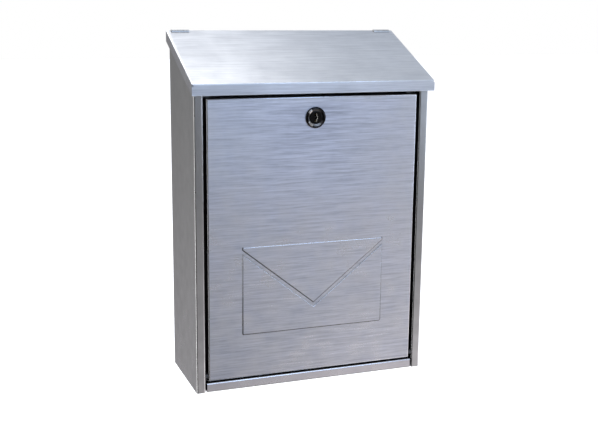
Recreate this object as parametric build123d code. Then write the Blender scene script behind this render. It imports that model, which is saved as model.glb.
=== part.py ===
from build123d import *
import os
from math import atan2, cos, degrees, hypot, sqrt

os.makedirs("parts", exist_ok=True)

# A wall mailbox of folded stainless sheet. A case hangs on the wall, a sloping lid is hinged along
# its back edge for letters to drop in, and a door at the front drops forward on two pivots at its
# foot to let them out. A cam lock holds the door shut.
# X runs to the right seen from the front, Y to the wall and Z up, with the wall at Y = 0.
# Heights here are from the case's bottom edge. The export moves every piece down by
# WALL_HOLE_HEIGHT, so that the origin is the centre of the four wall holes.

# Case
OVERALL_HEIGHT = 390.0      # bottom edge to the top of the lid's hinge knuckles
OVERALL_DEPTH = 115.0       # wall to the front of the lid
CASE_WIDTH = 270.0          # across the side panels
SHEET = 0.8
BEND = 1.6                  # outside radius of a fold
STRIP_WIDTH = 10.0          # front face of each side panel, beside the door
JAMB_DEPTH = 13.0           # case front to the jamb behind the door
JAMB_WIDTH = 10.0
REAR_FLANGE = 15.0
RAIL_HEIGHT = 10.4          # front upstand of the floor
RAIL_RETURN = 9.0
RAIL_END_GAP = 1.7
FLOOR_FLANGE = 12.0
DRAIN_RADIUS = 2.5
DRAIN_SPACING_X = 180.0
DRAIN_SPACING_Y = 60.0

# Wall holes
WALL_HOLE_HEIGHT = 195.0
WALL_HOLE_SPACING_X = 190.0
WALL_HOLE_SPACING_Z = 200.0
WALL_HOLE_RADIUS = 3.5

# Lid
LID_FRONT_OVERHANG = 8.0
LID_SIDE_OVERHANG = 3.5
LID_FALL = 51.0             # drop of the lid's top from its back edge to its front fold
LID_LIP = 12.0
LID_BACK_GAP = 0.6          # lid's back edge to the wall
LID_KNUCKLE_STAND = 1.0     # knuckle tops above the lid's back edge
LID_TOP_CLEARANCE = 2.5     # lid's outer face to the side panels' top edges
SEAM_GAP = 0.5              # open seam where two folded flanges meet
RELIEF_RADIUS = 1.3         # round relief at the upper end of a seam

# Lid hinges
HINGE_WIDTH = 20.0
HINGE_INSET = 12.0          # case side to the middle of a hinge
HINGE_LEAF = 1.0
HINGE_LEAF_HEIGHT = 24.0
HINGE_WING_LENGTH = 22.0
KNUCKLE_RADIUS = 2.5
KNUCKLE_SHARE = 7.2         # opening between the two fixed knuckles
KNUCKLE_GAP = 0.2
HINGE_PIN_RADIUS = 1.25
RUNNING_CLEARANCE = 0.05    # radial, on everything that turns
SNUG_CLEARANCE = 0.03       # radial, on what is riveted, screwed or pushed on

# Top rail
TOP_RAIL_RISE = 0.8         # rail's foot below the lid lip's lower edge
TOP_RAIL_HEIGHT = 12.8
TOP_RAIL_RETURN = 10.0
TOP_RAIL_LIP = 8.8

# Door
DOOR_SIDE_GAP = 3.6
DOOR_FOOT_GAP = 2.2
DOOR_TOP_GAP = 3.8          # door's top edge below the lid lip's lower edge
DOOR_FLANGE = 12.0

# Raised envelope on the door
ENVELOPE_WIDTH = 165.0
ENVELOPE_HEIGHT = 98.3
ENVELOPE_FOOT = 49.9        # above the door's lower edge
ENVELOPE_RAISE = 0.9
ENVELOPE_CORNER = 1.5
FLAP_DEPTH = 68.4           # flap's top edge to its point
FLAP_EDGE = 2.6             # short upright end of the flap
FOLD_GAP = 5.4              # sunken line between flap and pocket, measured upright

# Door pivots
PIVOT_SETBACK = 4.5         # pin behind the door's face
PIVOT_RISE = 5.0            # pin above the door's lower edge
PIVOT_PIN_RADIUS = 2.0
PIVOT_PIN_REACH = 4.0       # pin past the door's flange
PIVOT_HEAD_RADIUS = 2.9
PIVOT_HEAD_HEIGHT = 1.5
SPACER_RADIUS = 3.0
SPACER_END_GAP = 0.2
CLIP_RADIUS = 3.2
CLIP_THICKNESS = 0.6
CLIP_GAP = 0.3
PIVOT_SWEEP_GAP = 5.0       # jamb cut back this far past what the door's foot sweeps

# Buffers
LID_BUFFER_RADIUS = 4.0
LID_BUFFER_INSET = 30.0
DOOR_BUFFER_RADIUS = 3.5
DOOR_BUFFER_DROP = 60.0     # below the door's upper edge
BUFFER_GAP = 0.2            # buffers to what rests on them

# Lock
LOCK_DROP = 22.8            # lock's axis below the door's upper edge
BEZEL_RADIUS = 11.5
BEZEL_HEIGHT = 2.6
BEZEL_ROUND = 1.4
BARREL_RADIUS = 8.8
BARREL_FLATS = 15.6
BARREL_HOLE_CLEARANCE = 0.15
BARREL_LENGTH = 13.6        # behind the door's outer face
NUT_FLATS = 22.0
NUT_THICKNESS = 4.0
WASHER_RADIUS = 11.0
WASHER_THICKNESS = 0.8
PLUG_RADIUS = 6.4
PLUG_HEAD_RADIUS = 7.1
PLUG_HEAD_LENGTH = 1.6
PLUG_HEAD_RECESS = 0.3
KEYWAY_WIDTH = 1.8
KEYWAY_HEIGHT = 8.4
KEYWAY_WARD = 0.9           # sideways step that makes the keyway crooked
WAFER_COUNT = 5
WAFER_PITCH = 2.0
WAFER_START = 1.2           # first wafer behind the door's outer face
WAFER_SIZE = (5.6, 0.9, 11.2)
WAFER_SLACK = 0.1
SPRING_RADIUS = 0.62
SPRING_WIRE = 0.12
SPRING_LENGTH = 3.2
SPRING_PITCH = 0.8
CAM_GAP = 0.2
CAM_THICKNESS = 2.0
CAM_RADIUS = 8.0
CAM_REACH = 32.0
CAM_TIP_WIDTH = 11.0
DRIVE_SQUARE = 7.0
DRIVE_SHORT = 0.2           # drive stops short of the cam's back so that the screw clamps it
CAM_WASHER_RADIUS = 6.0
CAM_WASHER_THICKNESS = 0.8
CAM_SCREW_RADIUS = 2.0
CAM_SCREW_HEAD_RADIUS = 4.0
CAM_SCREW_HEAD_HEIGHT = 2.4
CAM_SCREW_LENGTH = 5.4
CAM_SCREW_SLOT = 1.0

# Places worked out from the sizes
HALF_WIDTH = CASE_WIDTH / 2
LID_HALF_WIDTH = HALF_WIDTH + LID_SIDE_OVERHANG
LID_FRONT = -OVERALL_DEPTH
FRONT = LID_FRONT + LID_FRONT_OVERHANG
RETURN_X = HALF_WIDTH - STRIP_WIDTH
HINGE_Y = -KNUCKLE_RADIUS
HINGE_Z = OVERALL_HEIGHT - KNUCKLE_RADIUS
LID_BACK_HEIGHT = OVERALL_HEIGHT - LID_KNUCKLE_STAND
LID_FRONT_HEIGHT = LID_BACK_HEIGHT - LID_FALL
LID_RUN = OVERALL_DEPTH - LID_BACK_GAP
LID_SLOPE = atan2(LID_FALL, LID_RUN)
LIP_FOOT = LID_FRONT_HEIGHT - LID_LIP
HINGE_X = HALF_WIDTH - HINGE_INSET
KNUCKLE_CLEARANCE = KNUCKLE_RADIUS + 0.5
BACK_TOP = HINGE_Z - KNUCKLE_CLEARANCE
DOOR_HALF = RETURN_X - DOOR_SIDE_GAP
DOOR_FOOT = RAIL_HEIGHT + DOOR_FOOT_GAP
DOOR_TOP = LIP_FOOT - DOOR_TOP_GAP
PIVOT_Y = FRONT + PIVOT_SETBACK
PIVOT_Z = DOOR_FOOT + PIVOT_RISE
JAMB_Y = FRONT + JAMB_DEPTH
DOOR_SWEEP = hypot(DOOR_FLANGE - PIVOT_SETBACK, PIVOT_RISE)
JAMB_FOOT = PIVOT_Z + DOOR_SWEEP + PIVOT_SWEEP_GAP
RAIL_FOOT = LIP_FOOT - TOP_RAIL_RISE
RAIL_TOP = RAIL_FOOT + TOP_RAIL_HEIGHT
LOCK_Z = DOOR_TOP - LOCK_DROP
BARREL_END = FRONT + BARREL_LENGTH
CAM_FACE = BARREL_END + CAM_GAP
CAM_BACK = CAM_FACE + CAM_THICKNESS
ENVELOPE_TOP = DOOR_FOOT + ENVELOPE_FOOT + ENVELOPE_HEIGHT
BIG = 2 * (OVERALL_HEIGHT + CASE_WIDTH + OVERALL_DEPTH)


def block(x, y, z):
    """Box between two limits along each axis."""
    size = [high - low for low, high in (x, y, z)]
    middle = [(high + low) / 2 for low, high in (x, y, z)]
    return Pos(*middle) * Box(*size)


def rod_x(radius, x, y, z):
    """Cylinder along X between two limits."""
    return Pos((x[0] + x[1]) / 2, y, z) * Rot(0, 90, 0) * Cylinder(radius, x[1] - x[0])


def rod_y(radius, y, x=0.0, z=0.0):
    """Cylinder along Y between two limits."""
    return Pos(x, (y[0] + y[1]) / 2, z) * Rot(90, 0, 0) * Cylinder(radius, y[1] - y[0])


def folded(points, side):
    """Section of a folded sheet, with its outer face along the points."""
    path = FilletPolyline(*points, radius=BEND)
    return make_face(path.offset_2d(SHEET, side=side, closed=True).edges())


def along_z(section, z):
    """Section drawn in X and Y, drawn out between two heights."""
    return Pos(0, 0, z[0]) * extrude(section, z[1] - z[0], dir=(0, 0, 1))


def along_x(section, x):
    """Section drawn in Y and Z, drawn out between two places along X."""
    return Pos(x[0], 0, 0) * extrude(Plane.YZ * section, x[1] - x[0], dir=(1, 0, 0))


def along_y(section, y):
    """Section drawn in X and Z, drawn out between two places along Y."""
    return Pos(0, y[0], 0) * extrude(Plane.XZ * section, y[1] - y[0], dir=(0, 1, 0))


def lid_height(y):
    """Height of the lid's outer face."""
    return LID_BACK_HEIGHT - LID_FALL * (-y - LID_BACK_GAP) / LID_RUN


def left_of(part):
    """The mirrored piece on the left."""
    return mirror(part, about=Plane.YZ)


# Lid frame: origin on the hinge's axis, Y up the slope, Z out of the lid
LID_FRAME = Pos(0, HINGE_Y, HINGE_Z) * Rot(degrees(LID_SLOPE), 0, 0)
LID_OUTER = (lid_height(HINGE_Y) - HINGE_Z) * cos(LID_SLOPE)
LID_INNER = LID_OUTER - SHEET


def under_lid(drop):
    """Everything above a plane that lies the given height below the lid's outer face."""
    low, high = -OVERALL_DEPTH - BIG, BIG
    corners = [(low, lid_height(low) - drop), (high, lid_height(high) - drop),
               (high, 2 * BIG), (low, 2 * BIG)]
    return along_x(Polygon(*corners, align=None), (-BIG, BIG))


def back_panel():
    panel = block((-HALF_WIDTH + BEND, HALF_WIDTH - BEND), (-SHEET, 0), (0, BACK_TOP))
    for x in (-WALL_HOLE_SPACING_X / 2, WALL_HOLE_SPACING_X / 2):
        for z in (-WALL_HOLE_SPACING_Z / 2, WALL_HOLE_SPACING_Z / 2):
            panel -= rod_y(WALL_HOLE_RADIUS, (-2 * SHEET, SHEET), x, WALL_HOLE_HEIGHT + z)
    return panel


def right_side_panel():
    points = [
        (HALF_WIDTH - REAR_FLANGE, -SHEET),
        (HALF_WIDTH, -SHEET),
        (HALF_WIDTH, FRONT),
        (RETURN_X, FRONT),
        (RETURN_X, JAMB_Y),
        (RETURN_X - JAMB_WIDTH, JAMB_Y),
    ]
    panel = along_z(folded(points, Side.RIGHT), (0, OVERALL_HEIGHT))
    panel -= under_lid(LID_TOP_CLEARANCE)
    panel -= block((0, BIG), (-BIG, BIG), (BACK_TOP, BIG))
    # The rear flange stops below the hinge leaf, and the jamb above the door's pivot
    leaf_foot = HINGE_Z - HINGE_LEAF_HEIGHT - 2 * SHEET
    panel -= block((0, HALF_WIDTH - SHEET), (-3 * SHEET, BIG), (leaf_foot, BIG))
    panel -= block((0, HALF_WIDTH - BEND), (JAMB_Y - BEND, JAMB_Y + 2 * BEND), (-BIG, JAMB_FOOT))
    pin_hole = (RETURN_X - SHEET, RETURN_X + 2 * SHEET)
    return panel - rod_x(PIVOT_PIN_RADIUS + SNUG_CLEARANCE, pin_hole, PIVOT_Y, PIVOT_Z)


def floor_panel():
    rear_x = HALF_WIDTH - REAR_FLANGE - SHEET
    front_section = folded([(-SHEET, FLOOR_FLANGE), (-SHEET, 0), (FRONT, 0), (FRONT, RAIL_HEIGHT),
                            (FRONT + RAIL_RETURN, RAIL_HEIGHT)], Side.RIGHT)
    panel = along_x(front_section, (-RETURN_X + RAIL_END_GAP, RETURN_X - RAIL_END_GAP))
    panel -= block((rear_x, BIG), (-FLOOR_FLANGE, BIG), (-BIG, BIG))
    panel -= block((-BIG, -rear_x), (-FLOOR_FLANGE, BIG), (-BIG, BIG))
    inner_x = HALF_WIDTH - SHEET
    side_section = folded([(-inner_x, FLOOR_FLANGE), (-inner_x, 0), (inner_x, 0), (inner_x, FLOOR_FLANGE)],
                          Side.LEFT)
    panel += along_y(side_section, (JAMB_Y + 2 * SHEET, -3 * SHEET))
    for x in (-DRAIN_SPACING_X / 2, DRAIN_SPACING_X / 2):
        for y in (-DRAIN_SPACING_Y / 2, DRAIN_SPACING_Y / 2):
            panel -= Pos(x, FRONT / 2 + y, 0) * Cylinder(DRAIN_RADIUS, 4 * SHEET)
    return panel


def top_rail():
    section = folded([(FRONT + TOP_RAIL_RETURN, RAIL_TOP), (FRONT, RAIL_TOP), (FRONT, RAIL_FOOT),
                      (JAMB_Y, RAIL_FOOT), (JAMB_Y, RAIL_FOOT + TOP_RAIL_LIP)], Side.LEFT)
    end = RETURN_X - BEND
    return along_x(section, (-end, end))


def lid_hinge_leaf_right():
    low, high = HINGE_X - HINGE_WIDTH / 2, HINGE_X + HINGE_WIDTH / 2
    leaf = block((low, high), (-SHEET - HINGE_LEAF, -SHEET), (HINGE_Z - HINGE_LEAF_HEIGHT, HINGE_Z))
    leaf += rod_x(KNUCKLE_RADIUS, (low, high), HINGE_Y, HINGE_Z)
    opening = (HINGE_X - KNUCKLE_SHARE / 2, HINGE_X + KNUCKLE_SHARE / 2)
    leaf -= block(opening, (-BIG, BIG), (BACK_TOP, BIG))
    return leaf - rod_x(HINGE_PIN_RADIUS, (low - 1, high + 1), HINGE_Y, HINGE_Z)


def lid_hinge_wing_right():
    half = KNUCKLE_SHARE / 2 - KNUCKLE_GAP
    wing = rod_x(KNUCKLE_RADIUS, (HINGE_X - half, HINGE_X + half), HINGE_Y, HINGE_Z)
    plate_z = (LID_INNER - HINGE_LEAF, LID_INNER)
    wing += LID_FRAME * block((HINGE_X - half, HINGE_X + half), (-KNUCKLE_CLEARANCE, 0), plate_z)
    plate_x = (HINGE_X - HINGE_WIDTH / 2, HINGE_X + HINGE_WIDTH / 2)
    wing += LID_FRAME * block(plate_x, (-HINGE_WING_LENGTH, -KNUCKLE_CLEARANCE), plate_z)
    bore = (HINGE_X - half - 1, HINGE_X + half + 1)
    return wing - rod_x(HINGE_PIN_RADIUS + RUNNING_CLEARANCE, bore, HINGE_Y, HINGE_Z)


def lid_hinge_pin_right():
    return rod_x(HINGE_PIN_RADIUS, (HINGE_X - HINGE_WIDTH / 2, HINGE_X + HINGE_WIDTH / 2), HINGE_Y, HINGE_Z)


def lid_shape(inset):
    """Solid lid, drawn in by the inset; an inset one runs on past the lips and the back edge."""
    past = BIG / 8 if inset else 0.0
    drop = inset / cos(LID_SLOPE)
    back, front = -LID_BACK_GAP + past, LID_FRONT + inset
    corners = [(back, lid_height(back) - drop), (front, lid_height(front) - drop),
               (front, lid_height(front) - LID_LIP - past), (back, lid_height(back) - LID_LIP - past)]
    half = LID_HALF_WIDTH - inset
    solid = along_x(Polygon(*corners, align=None), (-half, half))
    top = [face for face in solid.faces() if face.normal_at().Z > 0.5][0]
    return fillet(top.edges().sort_by(Axis.Y)[:-1], BEND - inset)


def lid_panel():
    lid = lid_shape(0.0) - lid_shape(SHEET)
    seam_y = (LID_FRONT + SHEET, LID_FRONT + SHEET + SEAM_GAP)
    seam_top = LID_FRONT_HEIGHT - BEND
    for sign in (-1, 1):
        # Side lip cut free of the front lip, with a round relief where the folds meet
        side_x = sorted((sign * (LID_HALF_WIDTH - BEND), sign * (LID_HALF_WIDTH + 1)))
        lid -= block(side_x, seam_y, (0, seam_top))
        lid -= rod_x(RELIEF_RADIUS, side_x, sum(seam_y) / 2, seam_top)
        notch_half = HINGE_WIDTH / 2 + SEAM_GAP
        notch = (sign * HINGE_X - notch_half, sign * HINGE_X + notch_half)
        lid -= LID_FRAME * block(notch, (-KNUCKLE_CLEARANCE, BIG), (LID_INNER - SHEET, LID_OUTER + SHEET))
    return lid


def door_pan():
    """Door without its envelope and holes: a shallow pan folded backwards on all four edges."""
    back = FRONT + DOOR_FLANGE
    pan = block((-DOOR_HALF, DOOR_HALF), (FRONT, back), (DOOR_FOOT, DOOR_TOP))
    pan = fillet(pan.faces().sort_by(Axis.Y)[0].edges(), BEND)
    inner = block((SHEET - DOOR_HALF, DOOR_HALF - SHEET), (FRONT + SHEET, back + BIG),
                  (DOOR_FOOT + SHEET, DOOR_TOP - SHEET))
    pan -= fillet(inner.faces().sort_by(Axis.Y)[0].edges(), BEND - SHEET)
    for x in (-DOOR_HALF, DOOR_HALF):
        for z, side in ((DOOR_FOOT, 1), (DOOR_TOP, -1)):
            seam_z = z + side * (SHEET + SEAM_GAP / 2)
            pan -= block((x - 2 * SHEET, x + 2 * SHEET), (FRONT + 2 * BEND, back + 1),
                         (seam_z - SEAM_GAP / 2, seam_z + SEAM_GAP / 2))
    return pan


def envelope_outlines(inset):
    """Flap and pocket outlines in X and Z, drawn in by the inset."""
    half = ENVELOPE_WIDTH / 2
    rise = (FLAP_DEPTH - FLAP_EDGE) / half
    foot, top = DOOR_FOOT + ENVELOPE_FOOT, ENVELOPE_TOP
    point = top - FLAP_DEPTH
    flap = Polygon((0, point), (half, point + rise * half), (half, top), (-half, top),
                   (-half, point + rise * half), align=None)
    fold = point - FOLD_GAP
    pocket = Polygon((-half, foot), (half, foot), (half, fold + rise * half), (0, fold),
                     (-half, fold + rise * half), align=None)
    outlines = []
    for outline in (flap, pocket):
        blunt = [corner for corner in outline.vertices()
                 if round(corner.Y, 3) in (round(top, 3), round(foot, 3))]
        rounded = fillet(blunt, ENVELOPE_CORNER)
        outlines.append(offset(rounded, -inset, kind=Kind.INTERSECTION) if inset else rounded)
    return outlines


def raised(outlines, y):
    """Outlines pressed forward from the given plane, with walls at 45 degrees."""
    plane = Plane.XZ.offset(-y)
    return [extrude(plane * outline, ENVELOPE_RAISE, dir=(0, -1, 0), taper=45) for outline in outlines]


def door_panel():
    door = door_pan()
    for solid in raised(envelope_outlines(0.0), FRONT):
        door += solid
    for solid in raised(envelope_outlines(SHEET * (sqrt(2) - 1)), FRONT + SHEET):
        door -= solid
    hole = rod_y(BARREL_RADIUS + BARREL_HOLE_CLEARANCE, (FRONT - 1, FRONT + 2 * SHEET), 0, LOCK_Z)
    flats = BARREL_FLATS / 2 + BARREL_HOLE_CLEARANCE
    hole &= block((-flats, flats), (-BIG, BIG), (-BIG, BIG))
    door -= hole
    bore = PIVOT_PIN_RADIUS + RUNNING_CLEARANCE
    for x in (-DOOR_HALF, DOOR_HALF):
        door -= rod_x(bore, (x - 2 * SHEET, x + 2 * SHEET), PIVOT_Y, PIVOT_Z)
    return door


def door_pivot_pin_right():
    inner = DOOR_HALF - SHEET - PIVOT_PIN_REACH
    outer = RETURN_X + SHEET
    pin = rod_x(PIVOT_PIN_RADIUS, (inner, outer + PIVOT_HEAD_HEIGHT), PIVOT_Y, PIVOT_Z)
    pin = chamfer(pin.edges().sort_by(Axis.X)[0], PIVOT_PIN_RADIUS / 5)
    return pin + rod_x(PIVOT_HEAD_RADIUS, (outer, outer + PIVOT_HEAD_HEIGHT), PIVOT_Y, PIVOT_Z)


def door_pivot_spacer_right():
    ends = (DOOR_HALF + SPACER_END_GAP, RETURN_X)
    spacer = rod_x(SPACER_RADIUS, ends, PIVOT_Y, PIVOT_Z)
    return spacer - rod_x(PIVOT_PIN_RADIUS + SNUG_CLEARANCE, (ends[0] - 1, ends[1] + 1), PIVOT_Y, PIVOT_Z)


def door_pivot_clip_right():
    outer = DOOR_HALF - SHEET - CLIP_GAP
    clip = rod_x(CLIP_RADIUS, (outer - CLIP_THICKNESS, outer), PIVOT_Y, PIVOT_Z)
    bore = PIVOT_PIN_RADIUS + SNUG_CLEARANCE
    clip -= rod_x(bore, (outer - 2 * CLIP_THICKNESS, outer + CLIP_THICKNESS), PIVOT_Y, PIVOT_Z)
    # Open on its upper side, where it is pushed onto the pin
    mouth = PIVOT_PIN_RADIUS * 0.8
    return clip - block((0, BIG), (PIVOT_Y - mouth, PIVOT_Y + mouth), (PIVOT_Z, BIG))


def lid_buffer_right():
    """Domed rubber foot on the top rail, just clear of the lid above it."""
    x, y = RETURN_X - LID_BUFFER_INSET, FRONT + TOP_RAIL_RETURN / 2
    buffer = Pos(x, y, RAIL_TOP + OVERALL_HEIGHT / 2) * Cylinder(LID_BUFFER_RADIUS, OVERALL_HEIGHT)
    return buffer - under_lid(SHEET / cos(LID_SLOPE) + BUFFER_GAP)


def door_buffer_right():
    """Rubber dot on the jamb that the closed door leans on."""
    x, z = RETURN_X - JAMB_WIDTH / 2, DOOR_TOP - DOOR_BUFFER_DROP
    return rod_y(DOOR_BUFFER_RADIUS, (FRONT + DOOR_FLANGE + BUFFER_GAP, JAMB_Y), x, z)


def lock_housing():
    bezel = rod_y(BEZEL_RADIUS, (FRONT - BEZEL_HEIGHT, FRONT), 0, LOCK_Z)
    bezel = fillet(bezel.edges().sort_by(Axis.Y)[0], BEZEL_ROUND)
    barrel = rod_y(BARREL_RADIUS, (FRONT, BARREL_END), 0, LOCK_Z)
    barrel &= block((-BARREL_FLATS / 2, BARREL_FLATS / 2), (-BIG, BIG), (-BIG, BIG))
    housing = bezel + barrel
    housing -= rod_y(PLUG_RADIUS + RUNNING_CLEARANCE, (FRONT - BIG, BIG), 0, LOCK_Z)
    head_floor = FRONT - BEZEL_HEIGHT + PLUG_HEAD_RECESS + PLUG_HEAD_LENGTH
    head_room = (FRONT - BIG, head_floor + RUNNING_CLEARANCE)
    return housing - rod_y(PLUG_HEAD_RADIUS + RUNNING_CLEARANCE, head_room, 0, LOCK_Z)


def lock_washer():
    washer = rod_y(WASHER_RADIUS, (FRONT + SHEET, FRONT + SHEET + WASHER_THICKNESS), 0, LOCK_Z)
    return washer - rod_y(BARREL_RADIUS + BARREL_HOLE_CLEARANCE, (FRONT, 0), 0, LOCK_Z)


def lock_nut():
    start = FRONT + SHEET + WASHER_THICKNESS
    hexagon = RegularPolygon(NUT_FLATS / 2, 6, major_radius=False)
    nut = Pos(0, 0, LOCK_Z) * along_y(hexagon, (start, start + NUT_THICKNESS))
    return nut - rod_y(BARREL_RADIUS + SNUG_CLEARANCE, (FRONT, 0), 0, LOCK_Z)


def wafer_places():
    """Middles of the wafers along Y."""
    return [FRONT + WAFER_START + WAFER_PITCH * i for i in range(WAFER_COUNT)]


def lock_plug():
    face = FRONT - BEZEL_HEIGHT + PLUG_HEAD_RECESS
    plug = rod_y(PLUG_HEAD_RADIUS, (face, face + PLUG_HEAD_LENGTH), 0, LOCK_Z)
    plug += rod_y(PLUG_RADIUS, (face, BARREL_END), 0, LOCK_Z)
    half = DRIVE_SQUARE / 2
    plug += block((-half, half), (BARREL_END, CAM_BACK - DRIVE_SHORT), (LOCK_Z - half, LOCK_Z + half))
    # Crooked keyway: three upright steps, shifted sideways in turn
    keyway_end = wafer_places()[-1] + WAFER_PITCH / 2
    step = KEYWAY_HEIGHT / 3
    for i, shift in enumerate((-KEYWAY_WARD, KEYWAY_WARD, -KEYWAY_WARD)):
        x = (shift / 2 - KEYWAY_WIDTH / 2, shift / 2 + KEYWAY_WIDTH / 2)
        low = LOCK_Z - KEYWAY_HEIGHT / 2 + step * i
        plug -= block(x, (face - 1, keyway_end), (low - 0.01, low + step + 0.01))
    slot_x, slot_y = (size / 2 + WAFER_SLACK for size in WAFER_SIZE[:2])
    slot_z = (LOCK_Z - PLUG_RADIUS, LOCK_Z + PLUG_RADIUS)
    for y in wafer_places():
        plug -= block((-slot_x, slot_x), (y - slot_y, y + slot_y), slot_z)
    for place in spring_places():
        pocket = Cylinder(SPRING_RADIUS + SPRING_WIRE + WAFER_SLACK, SPRING_LENGTH + 4 * WAFER_SLACK)
        plug -= place * Pos(0, 0, SPRING_LENGTH / 2) * pocket
    screw_bore = rod_y(CAM_SCREW_RADIUS, (CAM_BACK - CAM_SCREW_LENGTH, CAM_BACK), 0, LOCK_Z)
    return plug - screw_bore


def spring_places():
    """Feet of the wafers' springs, one beside each wafer's lower end."""
    x = WAFER_SIZE[0] / 2 - SPRING_RADIUS - SPRING_WIRE
    foot = LOCK_Z - WAFER_SIZE[2] / 2 + SPRING_WIRE + WAFER_SLACK
    return [Pos(x, y, foot) for y in wafer_places()]


def lock_wafers():
    width, thickness, height = WAFER_SIZE
    wafer = Box(width, thickness, height)
    wafer -= Box(KEYWAY_WIDTH + 2 * KEYWAY_WARD, 2 * thickness, height / 2)
    spring_width = 2 * (SPRING_RADIUS + SPRING_WIRE + WAFER_SLACK)
    spring_height = SPRING_LENGTH + 2 * (SPRING_WIRE + WAFER_SLACK)
    spring_room = Box(2 * spring_width, 2 * thickness, spring_height)
    wafer -= Pos(width / 2, 0, (spring_height - height) / 2) * spring_room
    return Compound([Pos(0, y, LOCK_Z) * wafer for y in wafer_places()])


def lock_wafer_springs():
    path = Helix(pitch=SPRING_PITCH, height=SPRING_LENGTH, radius=SPRING_RADIUS)
    wire = sweep(Plane(origin=path @ 0, z_dir=path % 0) * Circle(SPRING_WIRE), path=path)
    return Compound([place * wire for place in spring_places()])


def lock_cam():
    """At rest the cam points sideways, clear of the top rail; a quarter turn brings it up behind it."""
    cam = rod_y(CAM_RADIUS, (CAM_FACE, CAM_BACK), 0, LOCK_Z)
    half = CAM_TIP_WIDTH / 2
    arm = block((0, CAM_REACH), (CAM_FACE, CAM_BACK), (LOCK_Z - half, LOCK_Z + half))
    cam += fillet(arm.edges().filter_by(Axis.Y).group_by(Axis.X)[-1], half * 0.6)
    hole = DRIVE_SQUARE / 2 + RUNNING_CLEARANCE
    return cam - block((-hole, hole), (-BIG, BIG), (LOCK_Z - hole, LOCK_Z + hole))


def cam_washer():
    washer = rod_y(CAM_WASHER_RADIUS, (CAM_BACK, CAM_BACK + CAM_WASHER_THICKNESS), 0, LOCK_Z)
    return washer - rod_y(CAM_SCREW_RADIUS + RUNNING_CLEARANCE, (-BIG, BIG), 0, LOCK_Z)


def cam_screw():
    seat = CAM_BACK + CAM_WASHER_THICKNESS
    shank = rod_y(CAM_SCREW_RADIUS, (CAM_BACK - CAM_SCREW_LENGTH, seat), 0, LOCK_Z)
    head = rod_y(CAM_SCREW_HEAD_RADIUS, (seat, seat + CAM_SCREW_HEAD_HEIGHT), 0, LOCK_Z)
    head = fillet(head.edges().sort_by(Axis.Y)[-1], CAM_SCREW_HEAD_HEIGHT / 3)
    slot = (seat + CAM_SCREW_HEAD_HEIGHT / 2, BIG)
    cross = rod_y(CAM_SCREW_HEAD_RADIUS * 0.6, slot, 0, LOCK_Z)
    for x, z in ((CAM_SCREW_SLOT / 2, BIG), (BIG, CAM_SCREW_SLOT / 2)):
        head -= block((-x, x), slot, (LOCK_Z - z, LOCK_Z + z)) & cross
    return shank + head


SINGLE = [back_panel, right_side_panel, floor_panel, top_rail, lid_panel, door_panel, lock_housing,
          lock_washer, lock_nut, lock_plug, lock_wafers, lock_wafer_springs, lock_cam, cam_washer,
          cam_screw]
PAIRED = [lid_hinge_leaf_right, lid_hinge_wing_right, lid_hinge_pin_right, door_pivot_pin_right,
          door_pivot_spacer_right, door_pivot_clip_right, lid_buffer_right, door_buffer_right]

pieces = {make.__name__: make() for make in SINGLE + PAIRED}
for make in [right_side_panel] + PAIRED:
    name = make.__name__
    left_name = "left_side_panel" if name == "right_side_panel" else name.replace("_right", "_left")
    pieces[left_name] = left_of(pieces[name])

for name, piece in pieces.items():
    export_step(Pos(0, 0, -WALL_HOLE_HEIGHT) * piece, f"parts/{name}.step")
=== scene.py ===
import math

import bmesh
import bpy
import numpy as np
from mathutils import Matrix, Vector
from mathutils.geometry import delaunay_2d_cdt


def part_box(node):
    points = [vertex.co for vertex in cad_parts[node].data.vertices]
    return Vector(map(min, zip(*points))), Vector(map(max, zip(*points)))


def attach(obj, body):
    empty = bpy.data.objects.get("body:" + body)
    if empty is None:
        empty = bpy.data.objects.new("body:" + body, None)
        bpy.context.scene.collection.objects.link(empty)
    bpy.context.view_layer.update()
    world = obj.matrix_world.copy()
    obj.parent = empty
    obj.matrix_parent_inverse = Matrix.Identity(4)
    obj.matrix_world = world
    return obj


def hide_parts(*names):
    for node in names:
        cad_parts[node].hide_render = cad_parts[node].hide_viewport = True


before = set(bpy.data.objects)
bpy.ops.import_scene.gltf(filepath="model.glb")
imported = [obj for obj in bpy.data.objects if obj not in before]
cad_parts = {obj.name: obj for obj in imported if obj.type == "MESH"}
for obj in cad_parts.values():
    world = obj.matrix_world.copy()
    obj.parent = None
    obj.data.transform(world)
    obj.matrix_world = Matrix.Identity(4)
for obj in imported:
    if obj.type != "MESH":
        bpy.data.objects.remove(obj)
bpy.context.view_layer.update()
scene = bpy.context.scene
MM = 0.001

# ---------------------------------------------------------------------------------------------
# Camera: stands to the left of the mailbox and a little above its middle, looks slightly down,
# and takes in the whole box with a short telephoto lens.
# ---------------------------------------------------------------------------------------------
def new_object(name, data):
    """Object of that camera, lamp or mesh in the scene."""
    made = bpy.data.objects.new(name, data)
    scene.collection.objects.link(made)
    return made


camera = new_object("camera", bpy.data.cameras.new("camera"))
camera.data.sensor_width = 36.0
camera.data.lens = 59.98
camera.data.clip_end = 50.0
camera_place = Vector((-388.7, -1108.2, 223.6)) * MM
yaw, pitch, roll = math.radians(20.32), math.radians(11.88), math.radians(0.55)
turn = Matrix.Rotation(-yaw, 4, "Z") @ Matrix.Rotation(math.pi / 2 - pitch, 4, "X")
camera.matrix_world = (Matrix.Translation(camera_place)
                       @ turn @ Matrix.Rotation(roll, 4, "Z"))
scene.camera = camera
scene.view_settings.view_transform = "Standard"
scene.view_settings.look = "None"


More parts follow.
